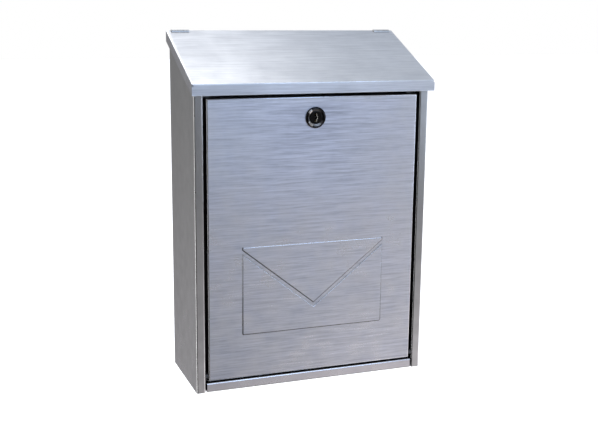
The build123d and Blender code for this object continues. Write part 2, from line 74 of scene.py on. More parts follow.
# ---------------------------------------------------------------------------------------------
# Studio: a plain pale floor, far enough below the hung mailbox for its open door, and large soft
# lights: a high ceiling, one overhead at the back, two cooler ones at the front right and one along
# the left side.
# ---------------------------------------------------------------------------------------------
def mesh_of(name, points, faces):
    """Mesh from points in metres and faces of point numbers."""
    mesh = bpy.data.meshes.new(name)
    mesh.from_pydata([tuple(p) for p in points], [], faces)
    mesh.update()
    return mesh


def add(tree, kind, inputs=None, **settings):
    """New node in a tree, with its settings made and its inputs linked or set."""
    made = tree.nodes.new(kind)
    for key, value in settings.items():
        setattr(made, key, value)
    for key, value in (inputs or {}).items():
        if isinstance(value, bpy.types.NodeSocket):
            tree.links.new(value, made.inputs[key])
        else:
            made.inputs[key].default_value = value
    return made


def noise(tree, place, scale, detail, **more):
    """Value of a noise texture; more gives its other inputs."""
    inputs = {"Vector": place, "Scale": scale, "Detail": detail}
    inputs.update((key.capitalize(), value) for key, value in more.items())
    return add(tree, "ShaderNodeTexNoise", inputs).outputs[0]


def span(tree, value, low, high, to_low=0.0, to_high=1.0):
    """Value carried from one range to another, and held at its ends."""
    return add(tree, "ShaderNodeMapRange", {
        "Value": value, "From Min": low, "From Max": high,
        "To Min": to_low, "To Max": to_high}).outputs[0]


def blend(tree, amount, under, over):
    """Colour laid over another by an amount."""
    return add(tree, "ShaderNodeMix", {0: amount, 6: under, 7: over}, data_type="RGBA").outputs[2]


def math_node(tree, operation, *values, clamp=False):
    """Result of a sum, difference or product."""
    return add(tree, "ShaderNodeMath", dict(enumerate(values)), operation=operation,
               use_clamp=clamp).outputs[0]


def object_place(tree):
    """Place on the object, in metres."""
    return add(tree, "ShaderNodeTexCoord").outputs["Object"]


def new_material(name, **values):
    """Material with a Principled shader whose uniform values are set on its own sockets."""
    material = bpy.data.materials.new(name)
    material.use_nodes = True
    shader = material.node_tree.nodes["Principled BSDF"]
    for key, value in values.items():
        shader.inputs[key.replace("_", " ")].default_value = value
    return material, material.node_tree, shader


open_door_room = 0.14
floor_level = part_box("right_side_panel")[0].z - open_door_room
floor_half = 9.0
floor = new_object("studio_floor", mesh_of("studio_floor", [
    (x * floor_half, y * floor_half, floor_level) for x, y in ((-1, -1), (1, -1), (1, 1), (-1, 1))
], [(0, 1, 2, 3)]))
paint, tree, shader = new_material("floor_paint", Roughness=0.9)
mottle = noise(tree, object_place(tree), scale=3.0, detail=3.0)
tree.links.new(span(tree, mottle, 0.0, 1.0, 0.84, 0.86), shader.inputs["Base Color"])
floor.data.materials.append(paint)
floor.visible_glossy = False

for name, stand, aim, size, power, tint in (
    ("ceiling", (0.0, 0.0, 6.0), (0.0, 0.0, 0.0), (40.0, 40.0), 5300.0, (1.0, 1.0, 1.0)),
    ("overhead", (-0.34, 0.85, 1.75), (0.26, 0.0, 0.1), (1.92, 1.9), 18.0, (1.0, 0.985, 0.97)),
    ("front_right", (0.72, -2.32, 1.0), (0.0, 0.0, 0.1), (1.05, 1.3), 9.8, (0.47, 0.66, 1.0)),
    ("low_right", (2.15, -1.85, 0.02), (0.0, 0.0, 0.0), (1.5, 0.55), 7.5, (0.68, 0.80, 1.0)),
    ("left_edge", (-2.0, 0.0, 0.0), (0.0, 0.0, 0.0), (1.4, 2.2), 12.0, (1.0, 1.0, 1.0)),
):
    lamp = bpy.data.lights.new(name, "AREA")
    lamp.shape, lamp.size, lamp.size_y = "RECTANGLE", *size
    lamp.energy, lamp.color = power, tint
    holder = new_object(name, lamp)
    holder.visible_camera = False
    holder.visible_glossy = name != "ceiling"
    away = Vector(stand) - Vector(aim)
    holder.matrix_world = (Matrix.Translation(stand)
                           @ away.to_track_quat("Z", "Y").to_matrix().to_4x4())

world = bpy.data.worlds.new("studio")
scene.world = world
world.use_nodes = True
tree = world.node_tree
tree.nodes.clear()
# Walls that are dim at eye level, with a paler band below it, and grow paler upwards
direction = add(tree, "ShaderNodeTexCoord").outputs["Generated"]
height = add(tree, "ShaderNodeSeparateXYZ", {0: direction}).outputs["Z"]
walls = add(tree, "ShaderNodeValToRGB", {0: span(tree, height, -1.0, 1.0)})
ramp = walls.color_ramp
ramp.elements[0].position, ramp.elements[0].color = 0.0, (0.26, 0.25, 0.25, 1)
ramp.elements[1].position, ramp.elements[1].color = 0.88, (0.62, 0.67, 0.76, 1)
for rise, colour in ((0.32, (0.42, 0.41, 0.43, 1)), (0.40, (0.32, 0.315, 0.325, 1)),
                     (0.475, (0.23, 0.23, 0.235, 1))):
    ramp.elements.new(rise).color = colour
# A dark card at the front left, a pale wall low down at the front right and another behind
screens = walls.outputs[0]
for toward, spread, level, colour in (
    ((-0.64, -0.77, 0.0), (0.60, 0.75), (0.35, 0.15), (0.03, 0.03, 0.03, 1)),
    ((0.80, -0.60, 0.0), (0.70, 1.10), (-0.24, -0.55), (3.60, 3.40, 3.50, 1)),
    ((0.75, 0.66, 0.0), (0.80, 0.95), (0.60, 0.20), (0.70, 0.70, 0.72, 1)),
):
    facing = add(tree, "ShaderNodeVectorMath", {0: direction, 1: toward},
                 operation="DOT_PRODUCT").outputs["Value"]
    near, below = span(tree, facing, *spread), span(tree, height, *level)
    within = math_node(tree, "MULTIPLY", near, below)
    screens = blend(tree, within, screens, colour)
studio = add(tree, "ShaderNodeBackground", {"Color": screens, "Strength": 1.0})
backdrop = add(tree, "ShaderNodeBackground", {"Color": (1, 1, 1, 1), "Strength": 1.0})
seen = add(tree, "ShaderNodeLightPath").outputs["Is Camera Ray"]
shown = add(tree, "ShaderNodeMixShader", {0: seen, 1: studio.outputs[0], 2: backdrop.outputs[0]})
add(tree, "ShaderNodeOutputWorld", {"Surface": shown.outputs[0]})

# ---------------------------------------------------------------------------------------------
# Side panels: each is one piece of 0.8 mm brushed stainless sheet, its grain upright. It turns
# forward from a flange on the wall, round the narrow front strip, back beside the door and in
# again as the jamb that the door closes on.
# ---------------------------------------------------------------------------------------------
SHEET = 0.8 * MM
BEND = 1.6 * MM
BEND_STEPS = 8


def group(name, inputs, outputs):
    """Empty shader node group, and its own sockets that give its inputs and take its outputs."""
    made = bpy.data.node_groups.new(name, "ShaderNodeTree")
    for label, kind, value in inputs:
        made.interface.new_socket(label, in_out="INPUT", socket_type=kind).default_value = value
    for label, kind in outputs:
        made.interface.new_socket(label, in_out="OUTPUT", socket_type=kind)
    return made, made.nodes.new("NodeGroupInput").outputs, made.nodes.new("NodeGroupOutput").inputs


# Brushed grain: long bands, hairlines and a few deeper scratches, all stretched along one axis
brushed_grain, given, put = group("Brushed grain", [
    ("Lines per metre", "NodeSocketVector", (9.0, 700.0, 700.0)),
    ("Hairlines", "NodeSocketFloat", 0.2), ("Bands", "NodeSocketFloat", 0.1),
    ("Scratches", "NodeSocketFloat", 0.15),
], [("Shade", "NodeSocketFloat"), ("Roughness shift", "NodeSocketFloat"),
    ("Height", "NodeSocketFloat")])
tree = brushed_grain
stretched = add(tree, "ShaderNodeMapping", {"Vector": object_place(tree),
                                            "Scale": given["Lines per metre"]}).outputs[0]
fine = noise(tree, stretched, scale=1.0, detail=4.0, roughness=0.65)
wide = noise(tree, stretched, scale=0.11, detail=3.0, roughness=0.6)
sparse = noise(tree, stretched, scale=0.42, detail=1.0, roughness=0.5)
scratch = span(tree, sparse, 0.68, 0.78)
fine_part = math_node(tree, "MULTIPLY", math_node(tree, "SUBTRACT", fine, 0.5), given["Hairlines"])
wide_part = math_node(tree, "MULTIPLY", math_node(tree, "SUBTRACT", wide, 0.5), given["Bands"])
dark_part = math_node(tree, "MULTIPLY", scratch, given["Scratches"])
tone = math_node(tree, "SUBTRACT", math_node(tree, "ADD", fine_part, wide_part), dark_part)
gloss_share, scratch_depth = -0.08, 0.8
tree.links.new(math_node(tree, "ADD", 1.0, tone), put["Shade"])
tree.links.new(math_node(tree, "MULTIPLY", tone, gloss_share), put["Roughness shift"])
grooves = math_node(tree, "MULTIPLY", scratch, scratch_depth)
tree.links.new(math_node(tree, "SUBTRACT", fine, grooves), put["Height"])

# Handling marks: faint cloudy patches where the sheet was wiped, and small specks of dust
handling_marks, given, put = group("Handling marks", [
    ("Patches per metre", "NodeSocketFloat", 14.0), ("Specks", "NodeSocketFloat", 0.4),
], [("Haze", "NodeSocketFloat"), ("Dust", "NodeSocketFloat")])
tree = handling_marks
place = object_place(tree)
cloud = noise(tree, place, given["Patches per metre"], detail=4.0, roughness=0.55, distortion=0.4)
specks_per_metre = 1400.0
dots = span(tree, noise(tree, place, specks_per_metre, detail=1.0), 0.74, 0.82)
tree.links.new(span(tree, cloud, 0.40, 0.68), put["Haze"])
tree.links.new(math_node(tree, "MULTIPLY", dots, given["Specks"]), put["Dust"])


def uneven_line(name, attribute, patches_per_metre, least):
    """Node group: an attribute of the points, uneven along its length, as a mask."""
    tree, given, put = group(name, [("Amount", "NodeSocketFloat", 0.9)],
                             [("Mask", "NodeSocketFloat")])
    marked = add(tree, "ShaderNodeAttribute", attribute_name=attribute).outputs["Fac"]
    uneven = noise(tree, object_place(tree), patches_per_metre, detail=3.0)
    uneven = span(tree, uneven, 0.3, 0.7, least)
    line = math_node(tree, "MULTIPLY", marked, uneven)
    tree.links.new(math_node(tree, "MULTIPLY", line, given["Amount"], clamp=True), put["Mask"])
    return tree


# Painted fold highlights: the outside of a bend is painted brighter and glossier, as a highlight.
# Painted crease shade: a thin dark line is painted in gaps and in pressed or folded creases, as
# shade.
painted_fold_highlights = uneven_line("Painted fold highlights", "fold", patches_per_metre=60.0, least=0.5)
painted_crease_shade = uneven_line("Painted crease shade", "crease", patches_per_metre=90.0, least=0.85)


def brushed_steel(name, lines, dark, light, roughness, hairlines=0.22, bands=0.16,
                  scratches=0.10, patches=14.0):
    """Brushed stainless sheet; lines gives the grain's lines per metre along each axis."""
    # The first colour paints marked bends bright, as a painted highlight; dust is real dust; the
    # last paints gaps and creases near black, as painted shade.
    highlight_colour, dust, painted_shade = (0.93, 0.93, 0.93, 1), (0.5, 0.5, 0.48, 1), (0.04, 0.038, 0.036, 1)
    haze_roughness, highlight_gloss = 0.05, 0.26
    groove_depth, groove_strength = 0.00002, 0.06
    material, tree, shader = new_material(name, Metallic=1.0, Anisotropic=0.7)
    grain = add(tree, "ShaderNodeGroup", {
        "Lines per metre": lines, "Hairlines": hairlines, "Bands": bands, "Scratches": scratches,
    }, node_tree=brushed_grain).outputs
    marks = add(tree, "ShaderNodeGroup", {"Patches per metre": patches},
                node_tree=handling_marks).outputs
    # Mask of painted highlights on the bends
    highlight_mask = add(tree, "ShaderNodeGroup", node_tree=painted_fold_highlights).outputs["Mask"]
    # Mask of painted shade in gaps and creases
    shade_mask = add(tree, "ShaderNodeGroup", node_tree=painted_crease_shade).outputs["Mask"]
    colour = blend(tree, marks["Haze"], (*light, 1), (*dark, 1))
    colour = add(tree, "ShaderNodeVectorMath", {0: colour, 3: grain["Shade"]},
                 operation="SCALE").outputs[0]
    for amount, over in ((highlight_mask, highlight_colour), (marks["Dust"], dust), (shade_mask, painted_shade)):
        colour = blend(tree, amount, colour, over)
    tree.links.new(colour, shader.inputs["Base Color"])
    rough = math_node(tree, "ADD", roughness, grain["Roughness shift"])
    hazy = math_node(tree, "MULTIPLY", marks["Haze"], haze_roughness)
    glossy = math_node(tree, "MULTIPLY", highlight_mask, highlight_gloss)
    rough = math_node(tree, "SUBTRACT", math_node(tree, "ADD", rough, hazy), glossy)
    tree.links.new(rough, shader.inputs["Roughness"])
    bump = add(tree, "ShaderNodeBump", {"Height": grain["Height"], "Distance": groove_depth,
                                        "Strength": groove_strength})
    tree.links.new(bump.outputs[0], shader.inputs["Normal"])
    across = add(tree, "ShaderNodeTangent", direction_type="UV_MAP", uv_map="across_grain")
    tree.links.new(across.outputs[0], shader.inputs["Tangent"])
    return material


def folded_sheet():
    """Node tree: a line of corners is rounded and drawn out along a run into a bent sheet."""
    tree = bpy.data.node_groups.new("Folded sheet", "GeometryNodeTree")
    face = tree.interface
    face.new_socket("Geometry", in_out="INPUT", socket_type="NodeSocketGeometry")
    for label, kind in (("Bend radius", "NodeSocketFloat"), ("Bend steps", "NodeSocketInt"),
                        ("Run", "NodeSocketVector"), ("Finish", "NodeSocketMaterial")):
        face.new_socket(label, in_out="INPUT", socket_type=kind)
    face.new_socket("Geometry", in_out="OUTPUT", socket_type="NodeSocketGeometry")
    given = tree.nodes.new("NodeGroupInput").outputs
    line = add(tree, "GeometryNodeMeshToCurve", {"Mesh": given["Geometry"]})
    bent = add(tree, "GeometryNodeFilletCurve", {
        "Curve": line.outputs[0], "Radius": given["Bend radius"], "Count": given["Bend steps"],
    }, mode="POLY")
    wire = add(tree, "GeometryNodeCurveToMesh", {"Curve": bent.outputs[0]})
    drawn = add(tree, "GeometryNodeExtrudeMesh", {"Mesh": wire.outputs[0], "Offset": given["Run"],
                                                  "Offset Scale": 1.0}, mode="EDGES")
    real = add(tree, "GeometryNodeRealizeInstances", {0: drawn.outputs[0]})
    done = add(tree, "GeometryNodeSetMaterial", {"Geometry": real.outputs[0],
                                                 "Material": given["Finish"]})
    add(tree, "NodeGroupOutput", {0: done.outputs[0]})
    return tree


folded_sheet_tree = folded_sheet()


def set_inputs(modifier, **values):
    """Sets a node modifier's inputs by their names."""
    for item in modifier.node_group.interface.items_tree:
        label = item.name.replace(" ", "_")
        if item.in_out == "INPUT" and label in values:
            modifier[item.identifier] = values[label]


def plain_mesh(made):
    """The object's final mesh with its modifiers applied, in the same object."""
    graph = bpy.context.evaluated_depsgraph_get()
    mesh = bpy.data.meshes.new_from_object(made.evaluated_get(graph), depsgraph=graph)
    made.modifiers.clear()
    made.data = mesh
    mesh.name = made.name
    return made


def thicken(made):
    """Gives a single skin the sheet's thickness, inwards from its outer face."""
    wall = made.modifiers.new("wall", "SOLIDIFY")
    wall.thickness, wall.offset = SHEET, -1.0
    wall.use_even_offset = wall.use_quality_normals = True
    return plain_mesh(made)


def folded_piece(name, corners, run, finish):
    """Sheet with its outer face along the corners, drawn out along the run."""
    mesh = bpy.data.meshes.new(name)
    mesh.from_pydata(corners, [(i, i + 1) for i in range(len(corners) - 1)], [])
    made = new_object(name, mesh)
    bends = made.modifiers.new("bends", "NODES")
    bends.node_group = folded_sheet_tree
    set_inputs(bends, Bend_radius=BEND, Bend_steps=BEND_STEPS, Run=run, Finish=finish)
    return thicken(plain_mesh(made))


def box_mesh(name, low, high):
    """Block between two corners, to cut with."""
    points = [(x, y, z) for x in (low[0], high[0]) for y in (low[1], high[1])
              for z in (low[2], high[2])]
    faces = [(0, 1, 3, 2), (4, 6, 7, 5), (0, 4, 5, 1), (2, 3, 7, 6), (0, 2, 6, 4), (1, 5, 7, 3)]
    return mesh_of(name, points, faces)


def face_outward(mesh):
    """Turns all the faces of a mesh the same way, outwards."""
    shell = bmesh.new()
    shell.from_mesh(mesh)
    bmesh.ops.recalc_face_normals(shell, faces=shell.faces)
    shell.to_mesh(mesh)
    shell.free()
    return mesh


def prism_mesh(name, outline, axis, low, high):
    """Outline in the two other axes, drawn out along an axis between two limits, to cut with."""
    def at(a, b, level):
        return {"X": (level, a, b), "Y": (a, level, b), "Z": (a, b, level)}[axis]
    count = len(outline)
    points = [at(a, b, level) for level in (low, high) for a, b in outline]
    faces = [tuple(range(count)), tuple(range(2 * count - 1, count - 1, -1))]
    faces += [(i, i + count, (i + 1) % count + count, (i + 1) % count) for i in range(count)]
    return face_outward(mesh_of(name, points, faces))


def circle(radius, centre=(0.0, 0.0), steps=40):
    """Points round a circle."""
    turns = [2 * math.pi * i / steps for i in range(steps)]
    return [(centre[0] + radius * math.cos(t), centre[1] + radius * math.sin(t)) for t in turns]


def cut(made, meshes, operation="DIFFERENCE"):
    """Cuts each of these shapes out of the piece, or joins them to it."""
    for tool_mesh in meshes:
        tool = new_object("tool", tool_mesh)
        edit = made.modifiers.new("cut", "BOOLEAN")
        edit.operation, edit.solver, edit.object = operation, "EXACT", tool
        plain_mesh(made)
        bpy.data.objects.remove(tool)


def grain_direction(mesh, grain):
    """Writes the UV map that draws the gloss out across the grain."""
    along, end_on, map_scale = Vector(grain).normalized(), 0.05, 10
    uv = (mesh.uv_layers.get("across_grain") or mesh.uv_layers.new(name="across_grain")).data
    for face in mesh.polygons:
        across = face.normal.cross(along)
        if across.length < end_on:
            across = face.normal.orthogonal()
        across.normalize()
        for corner in face.loop_indices:
            place = mesh.vertices[mesh.loops[corner].vertex_index].co
            uv[corner].uv = (place.dot(across) * map_scale,
                             place.dot(face.normal.cross(across)) * map_scale)


def mark_folds(mesh):
    """Point attribute that is 1 on the narrow faces of the bends and 0 on the flats."""
    narrow, widest_strip = np.zeros(len(mesh.vertices)), 0.45 * MM
    for face in mesh.polygons:
        lengths = [(mesh.vertices[a].co - mesh.vertices[b].co).length for a, b in face.edge_keys]
        if min(lengths) < widest_strip and len(lengths) == 4:
            for i in face.vertices:
                narrow[i] += 0.5
    layer = mesh.attributes.get("fold") or mesh.attributes.new("fold", "FLOAT", "POINT")
    layer.data.foreach_set("value", np.clip(narrow / 2, 0, 1).astype(np.float32))


def mark(made, label, amount, where):
    """Sets a point attribute on the points of a piece whose places pass the test."""
    mesh = made.data
    layer = mesh.attributes.get(label) or mesh.attributes.new(label, "FLOAT", "POINT")
    values = np.zeros(len(mesh.vertices), dtype=np.float32)
    layer.data.foreach_get("value", values)
    for i, point in enumerate(mesh.vertices):
        if where(point.co):
            values[i] = amount
    layer.data.foreach_set("value", values)


def finish_piece(made, body, finish, stands_for, grain=None, sharp=35.0):
    """Gives a piece its normals, finish and grain, its body and the nodes that it stands for."""
    mesh, same_place = made.data, 0.002 * MM
    shell = bmesh.new()
    shell.from_mesh(mesh)
    bmesh.ops.remove_doubles(shell, verts=shell.verts, dist=same_place)
    if shell.calc_volume(signed=True) < 0:
        bmesh.ops.reverse_faces(shell, faces=shell.faces)
    shell.to_mesh(mesh)
    shell.free()
    mesh.materials.clear()
    mesh.materials.append(finish)
    for face in mesh.polygons:
        face.material_index = 0
    mesh.shade_smooth()
    mesh.set_sharp_from_angle(angle=math.radians(sharp))
    level = made.modifiers.new("flats", "WEIGHTED_NORMAL")
    level.mode, level.weight, level.keep_sharp = "FACE_AREA", 100, True
    plain_mesh(made)
    if grain:
        # The bends are marked so that they are painted bright, as highlights
        mark_folds(made.data)
        grain_direction(made.data, grain)
    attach(made, body)
    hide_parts(*stands_for)


# Painted shade: the side panels get a darker copy of the case's steel, standing in for the shade on
# their faces.
side_steel = brushed_steel("side_steel", lines=(700.0, 700.0, 9.0), dark=(0.42, 0.42, 0.415),
                           light=(0.475, 0.475, 0.47), roughness=0.36, hairlines=0.10,
                           bands=0.10, scratches=0.05)

panel_low, panel_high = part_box("right_side_panel")
half_width = panel_high.x
front_y = panel_low.y
case_foot, side_top = panel_low.z, panel_high.z
strip_width, jamb_depth, jamb_width = 10.0 * MM, 13.0 * MM, 10.0 * MM
rear_flange = 15.0 * MM
return_x = half_width - strip_width
jamb_y = front_y + jamb_depth

lid_low, lid_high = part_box("lid_panel")
lid_fall = 51.0 * MM
lid_slope = math.atan2(lid_fall, lid_high.y - lid_low.y)


def lid_height(y):
    """Height of the lid's outer face."""
    return lid_high.z + (y - lid_high.y) * math.tan(lid_slope)


def above_lid(drop):
    """Wedge above a plane that lies the given height below the lid, wider than the whole case."""
    low, high, top, half = -0.3, 0.2, 1.0, 0.5
    outline = [(low, lid_height(low) - drop), (high, lid_height(high) - drop), (high, top),
               (low, top)]
    return prism_mesh("wedge", outline, "X", -half, half)


lid_clearance = 2.5 * MM
pin_low, pin_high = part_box("door_pivot_pin_right")
pivot_y, pivot_z = (pin_low.y + pin_high.y) / 2, (pin_low.z + pin_high.z) / 2
pin_radius, snug = 2.0 * MM, 0.03 * MM
# The door's foot turns about its pins, and the jambs stop clear above what it sweeps
foot_reach, foot_drop, sweep_gap = 7.5 * MM, 5.0 * MM, 5.0 * MM
jamb_foot = pivot_z + math.hypot(foot_reach, foot_drop) + sweep_gap
leaf_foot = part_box("lid_hinge_leaf_right")[0].z - 2 * SHEET
deep_shade, fold_depth = 0.95, 1.4 * MM
for side, sign in (("right", 1), ("left", -1)):
    outline = [(half_width - rear_flange, -SHEET), (half_width, -SHEET), (half_width, front_y),
               (return_x, front_y), (return_x, jamb_y), (return_x - jamb_width, jamb_y)]
    corners = [(sign * x, y, case_foot) for x, y in outline]
    if sign < 0:
        corners.reverse()
    panel = folded_piece(f"side_sheet_{side}", corners, (0, 0, 0.4), side_steel)
    inner = sorted((0.0, sign * (half_width - SHEET)))
    jamb_x = sorted((0.0, sign * (half_width - BEND)))
    pin_x = sorted((sign * (return_x - SHEET), sign * (return_x + 2 * SHEET)))
    cut(panel, [
        above_lid(lid_clearance),
        box_mesh("above", (-1, -1, side_top), (1, 1, 1)),
        box_mesh("leaf_room", (inner[0], -3 * SHEET, leaf_foot), (inner[1], 0.1, 1)),
        box_mesh("foot_room", (jamb_x[0], jamb_y - BEND, -1),
                 (jamb_x[1], jamb_y + 2 * BEND, jamb_foot)),
        prism_mesh("pin_hole", circle(pin_radius + snug, (pivot_y, pivot_z)), "X", *pin_x),
    ])
    # Painted shade: the return flange and jamb behind the front fold are painted near black, as the
    # gap beside the door lies in shade.
    mark(panel, "crease", deep_shade, lambda p: return_x - 2 * BEND < abs(p.x) < return_x + SHEET
         and front_y + fold_depth < p.y < jamb_y + BEND)
    finish_piece(panel, "case", side_steel, [f"{side}_side_panel"],
                 grain=(0, 0, 1))

# ---------------------------------------------------------------------------------------------
# Floor panel: a tray of the same sheet, welded in between the side panels. Its front edge turns
# up as the narrow rail under the door and rolls back; its other edges turn up as weld flanges.
# ---------------------------------------------------------------------------------------------
# Painted light: the rail and its tray get a paler, warmer copy of the case's steel, standing in for
# the light on the rail.
rail_steel = brushed_steel("rail_steel", lines=(9.0, 700.0, 700.0), dark=(0.61, 0.57, 0.585),
                           light=(0.71, 0.67, 0.685), roughness=0.36, hairlines=0.3, bands=0.2,
                           scratches=0.04)

rail_top = case_foot + 10.4 * MM
rail_return, floor_flange, rail_end = 9.0 * MM, 12.0 * MM, return_x - 1.7 * MM
outline = [(-SHEET, case_foot + floor_flange), (-SHEET, case_foot), (front_y, case_foot),
           (front_y, rail_top), (front_y + rail_return, rail_top)]
tray = folded_piece("floor_tray", [(-rail_end, y, z) for y, z in outline], (2 * rail_end, 0, 0),
                    rail_steel)
rear_x = half_width - rear_flange - SHEET
cut(tray, [box_mesh("corner", (min(s * rear_x, s), -floor_flange, -1), (max(s * rear_x, s), 1, 1))
           for s in (1, -1)])
inner_x = half_width - SHEET
outline = [(-inner_x, case_foot + floor_flange), (-inner_x, case_foot), (inner_x, case_foot),
           (inner_x, case_foot + floor_flange)]
cross_front, cross_back = jamb_y + 2 * SHEET, -3 * SHEET
cross = folded_piece("cross", [(x, cross_front, z) for x, z in outline],
                     (0, cross_back - cross_front, 0), rail_steel)
cut(tray, [cross.data], "UNION")
bpy.data.objects.remove(cross)
drain_x, drain_y, drain_radius = 90.0 * MM, 30.0 * MM, 2.5 * MM
middle_y = front_y / 2
cut(tray, [prism_mesh("drain", circle(drain_radius, (x, y), 32), "Z",
                      case_foot - 1 * MM, case_foot + 2 * MM)
           for x in (-drain_x, drain_x) for y in (middle_y - drain_y, middle_y + drain_y)])
thin_shade, foot_bend = 0.5, 1.0 * MM
# Painted shade: the rail's rolled-back top behind the front is painted near black, and the foot's
# front bend underneath half as dark.
mark(tray, "crease", deep_shade, lambda p: p.z > rail_top - 2 * SHEET and p.y > front_y + fold_depth)
mark(tray, "crease", thin_shade, lambda p: p.z < case_foot + foot_bend and p.y < front_y + foot_bend)
finish_piece(tray, "case", rail_steel, ["floor_panel"], grain=(1, 0, 0))

# ---------------------------------------------------------------------------------------------
# Top rail: a folded channel between the side panels, behind the lid's front lip. It stiffens the
# letter opening, carries the lid's buffers and is what the lock's cam catches behind.
# ---------------------------------------------------------------------------------------------
top_low, top_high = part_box("top_rail")
top_return, top_lip = 10.0 * MM, 8.8 * MM
outline = [(front_y + top_return, top_high.z), (front_y, top_high.z), (front_y, top_low.z),
           (jamb_y, top_low.z), (jamb_y, top_low.z + top_lip)]
top_rail = folded_piece("top_channel", [(top_low.x, y, z) for y, z in reversed(outline)],
                        (top_high.x - top_low.x, 0, 0), rail_steel)
# Painted shade: the channel's bottom, seen through the gap above the door, is painted near black.
mark(top_rail, "crease", deep_shade, lambda p: p.z < top_low.z + 2 * BEND)
finish_piece(top_rail, "case", rail_steel, ["top_rail"], grain=(1, 0, 0))

# ---------------------------------------------------------------------------------------------
# Lid: one sheet with its grain from side to side. The front and side edges are folded down as
# lips; a narrow seam with a round relief parts them at each front corner, and the back edge is
# notched for the hinge knuckles.
# ---------------------------------------------------------------------------------------------
lid_steel = brushed_steel("lid_steel", lines=(20.0, 480.0, 480.0), dark=(0.60, 0.61, 0.63),
                          light=(0.68, 0.69, 0.71), roughness=0.42, hairlines=0.7, bands=0.1,
                          scratches=0.03)

lid_half = lid_high.x
lid_front, lid_back = lid_low.y, lid_high.y
lip = 12.0 * MM


def lid_point(x, y, depth):
    """Point at a depth under the lid's outer face, measured square to its slope."""
    return Vector((x, y, lid_height(y) - depth / math.cos(lid_slope)))


points, faces = [], []
# The front bend's centre is one bend radius behind the front lip's face
front_turn, centre_y = math.pi / 2 - lid_slope, lid_front + BEND
for step in range(BEND_STEPS + 1):
    angle = math.pi / 2 * step / BEND_STEPS
    depth = BEND * (1 - math.cos(angle))
    x = lid_half - BEND + BEND * math.sin(angle)
    y = centre_y - BEND * math.sin(lid_slope + angle) if angle < front_turn else lid_front
    for place in (lid_point(-x, lid_back, depth), lid_point(-x, y, depth), lid_point(x, y, depth),
                  lid_point(x, lid_back, depth)):
        points.append(place)
rim = 1.0 * MM
for raise_by in (rim, 0.0):
    back_foot, front_foot = lid_height(lid_back) - lip + raise_by, lid_low.z + raise_by
    points += [Vector((-lid_half, lid_back, back_foot)), Vector((-lid_half, lid_front, front_foot)),
               Vector((lid_half, lid_front, front_foot)), Vector((lid_half, lid_back, back_foot))]
faces.append((0, 1, 2, 3))
for ring in range(BEND_STEPS + 2):
    for i in range(3):
        a, b = ring * 4 + i, ring * 4 + 4 + i
        faces.append((a, b, b + 1, a + 1))
lid = thicken(new_object("lid_cover", mesh_of("lid_cover", points, faces)))
seam_gap, relief = 0.5 * MM, 1.3 * MM
seam_y = (lid_front + SHEET, lid_front + SHEET + seam_gap)
seam_top = lid_height(lid_front) - BEND
hinge_low, hinge_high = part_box("lid_hinge_leaf_right")
knuckle_radius, knuckle_room = 2.5 * MM, 3.0 * MM
lid_axis = Vector((0, -knuckle_radius, hinge_high.z - knuckle_radius))
for sign in (-1, 1):
    side_x = sorted((sign * (lid_half - BEND), sign * (lid_half + 1 * MM)))
    cut(lid, [box_mesh("seam", (side_x[0], seam_y[0], -1), (side_x[1], seam_y[1], seam_top)),
              prism_mesh("relief", circle(relief, (sum(seam_y) / 2, seam_top), 28), "X", *side_x)])
    notch_x = sorted((sign * (hinge_low.x - seam_gap), sign * (hinge_high.x + seam_gap)))
    notch = box_mesh("notch", (notch_x[0], -knuckle_room, -knuckle_room),
                     (notch_x[1], 20 * MM, 5 * MM))
    notch.transform(Matrix.Translation(lid_axis) @ Matrix.Rotation(lid_slope, 4, "X"))
    cut(lid, [notch])
finish_piece(lid, "lid", lid_steel, ["lid_panel"], grain=(1, 0, 0), sharp=28.0)
# Painted highlight: the front lip's bottom edge is marked to be painted bright.
near_edge = 0.1 * MM
mark(lid, "fold", 1.0, lambda p: p.y < lid_front + near_edge and p.z < lid_low.z + near_edge)

# ---------------------------------------------------------------------------------------------
# Door: a shallow pan of sheet with its grain from side to side and all four edges folded back.
# A letter is pressed forward from behind: a pointed flap above a pocket with a matching notch.
# ---------------------------------------------------------------------------------------------
door_steel = brushed_steel("door_steel", lines=(26.0, 620.0, 620.0), dark=(0.53, 0.54, 0.60),
                           light=(0.61, 0.62, 0.69), roughness=0.38, hairlines=1.6, bands=0.14,
                           scratches=0.10)

door_low, door_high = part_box("door_panel")
door_half, door_foot, door_top = door_high.x, door_low.z, door_high.z
door_back = door_high.y
envelope_half = 82.5 * MM
envelope_foot, envelope_top = door_foot + 49.9 * MM, door_foot + 148.2 * MM
flap_depth, flap_edge, fold_gap = 68.4 * MM, 2.6 * MM, 5.4 * MM
flap_radius, pocket_radius = 1.2 * MM, 1.5 * MM
flap_point = envelope_top - flap_depth
rise = (flap_depth - flap_edge) / envelope_half
flap = [(0, flap_point), (envelope_half, envelope_top - flap_edge), (envelope_half, envelope_top),
        (-envelope_half, envelope_top), (-envelope_half, envelope_top - flap_edge)]
pocket_point = flap_point - fold_gap
pocket_side = pocket_point + rise * envelope_half
pocket = [(-envelope_half, envelope_foot), (envelope_half, envelope_foot),
          (envelope_half, pocket_side), (0, pocket_point), (-envelope_half, pocket_side)]


def rounded(outline, corners, radius, steps=8):
    """Outline with an arc in place of each of the numbered square corners."""
    made = []
    for i, place in enumerate(outline):
        if i not in corners:
            made.append(Vector(place))
            continue
        here = Vector(place)
        before = (Vector(outline[i - 1]) - here).normalized()
        after = (Vector(outline[(i + 1) % len(outline)]) - here).normalized()
        centre = here + (before + after) * radius
        for step in range(steps + 1):
            part = math.pi / 2 * step / steps
            made.append(centre - after * radius * math.cos(part) - before * radius * math.sin(part))
    return made


